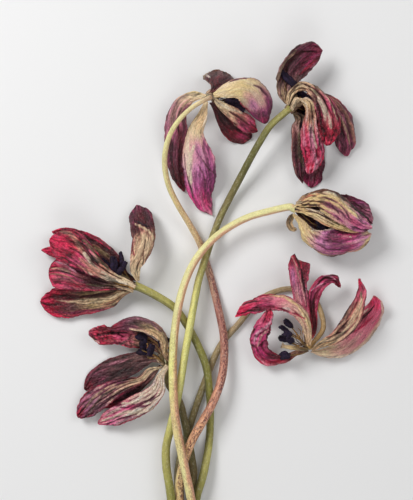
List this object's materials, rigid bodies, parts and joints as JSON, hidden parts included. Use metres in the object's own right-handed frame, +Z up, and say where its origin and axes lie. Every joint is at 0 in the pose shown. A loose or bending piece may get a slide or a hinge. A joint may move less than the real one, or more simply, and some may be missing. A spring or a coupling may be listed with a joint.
{
  "type": "wilted bouquet",
  "caption": "Loose bunch of wilted tulips lying flat, with bent bare stems crossing, limp streaked petals, pistils and dark stamens; no vase, leaves or tie.",
  "frame": {"origin": "centre of the underside of the bunch's box, on the surface it lies on", "axes": "+Y along the stems towards the flowers, +X to the right seen from above, +Z up from the surface"},
  "size_m": [0.1816, 0.282, 0.0271],
  "materials": {
    "stem_a": "soft plant stem, satin",
    "stem_b": "soft plant stem, satin",
    "stem_c": "soft plant stem, satin",
    "stem_d": "soft plant stem, satin",
    "stem_e": "soft plant stem, satin",
    "stem_f": "soft plant stem, satin",
    "tepals_a": "wilted petal, satin",
    "tepals_b": "wilted petal, satin",
    "tepals_c": "wilted petal, satin",
    "tepals_d": "wilted petal, satin",
    "tepals_e": "wilted petal, satin",
    "tepals_f": "wilted petal, satin",
    "pistils": "soft plant tissue, matt",
    "stamens": "dusty pollen, matt"
  },
  "bodies": {
    "root": {"stem_a": "stem_a", "stem_b": "stem_b", "stem_c": "stem_c", "stem_d": "stem_d", "stem_e": "stem_e", "stem_f": "stem_f", "tepal_a1": "tepals_a", "tepal_a2": "tepals_a", "tepal_a3": "tepals_a", "tepal_a4": "tepals_a", "tepal_a5": "tepals_a", "tepal_a6": "tepals_a", "tepal_b1": "tepals_b", "tepal_b2": "tepals_b", "tepal_b3": "tepals_b", "tepal_b4": "tepals_b", "tepal_b5": "tepals_b", "tepal_b6": "tepals_b", "tepal_c1": "tepals_c", "tepal_c2": "tepals_c", "tepal_c3": "tepals_c", "tepal_c4": "tepals_c", "tepal_c5": "tepals_c", "tepal_c6": "tepals_c", "tepal_d1": "tepals_d", "tepal_d2": "tepals_d", "tepal_d3": "tepals_d", "tepal_d4": "tepals_d", "tepal_d5": "tepals_d", "tepal_d6": "tepals_d", "tepal_e1": "tepals_e", "tepal_e2": "tepals_e", "tepal_e3": "tepals_e", "tepal_e4": "tepals_e", "tepal_e5": "tepals_e", "tepal_e6": "tepals_e", "tepal_f1": "tepals_f", "tepal_f2": "tepals_f", "tepal_f3": "tepals_f", "tepal_f4": "tepals_f", "tepal_f5": "tepals_f", "tepal_f6": "tepals_f", "pistil_a": "pistils", "pistil_b": "pistils", "pistil_c": "pistils", "pistil_d": "pistils", "pistil_e": "pistils", "pistil_f": "pistils", "stamen_e1": "stamens", "stamen_e2": "stamens", "stamen_e3": "stamens", "stamen_e4": "stamens", "stamen_e5": "stamens", "stamen_e6": "stamens", "stamen_f1": "stamens", "stamen_f2": "stamens", "stamen_f3": "stamens", "stamen_f4": "stamens", "stamen_f5": "stamens", "stamen_f6": "stamens"}
  },
  "joints": []
}
